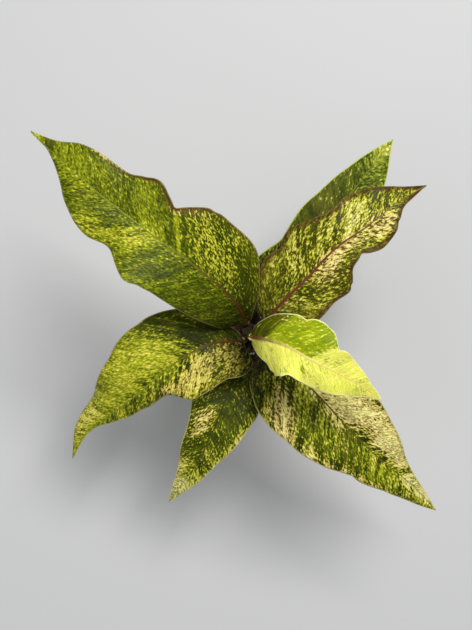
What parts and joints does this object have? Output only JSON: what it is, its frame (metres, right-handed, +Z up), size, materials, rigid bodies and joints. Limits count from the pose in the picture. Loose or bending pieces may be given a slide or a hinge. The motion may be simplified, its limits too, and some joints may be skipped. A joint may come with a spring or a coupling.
{
  "type": "potted anthurium",
  "caption": "Potted anthurium with long pointed, waved and variegated leaves on short stalks, in a round nursery pot.",
  "frame": {"origin": "middle of the pot's flat underside", "axes": "+Z up along the pot's axis, +Y towards the top edge of the picture, +X towards its right edge"},
  "size_m": [0.262, 0.251, 0.2117],
  "materials": {
    "pot_plastic": "moulded charcoal plastic, satin",
    "potting_mix": "bark chips and peat, dull",
    "stem_bark": "green-brown stem and aerial roots, dull",
    "leaf_mottled": "green leaf mottled with cream and gold, semi-gloss",
    "leaf_young": "lime and pale yellow young leaf, semi-gloss",
    "dry_sheath": "dry brown leaf sheath, matt"
  },
  "bodies": {
    "root": {"pot": "pot_plastic", "potting_mix": "potting_mix", "stem": "stem_bark", "leaf_1": "leaf_mottled", "leaf_2": "leaf_mottled", "leaf_3": "leaf_mottled", "leaf_4": "leaf_mottled", "leaf_5": "leaf_mottled", "leaf_6": "leaf_mottled", "leaf_7": "leaf_young", "sheath_1": "dry_sheath", "sheath_2": "dry_sheath", "sheath_3": "dry_sheath"}
  },
  "joints": []
}
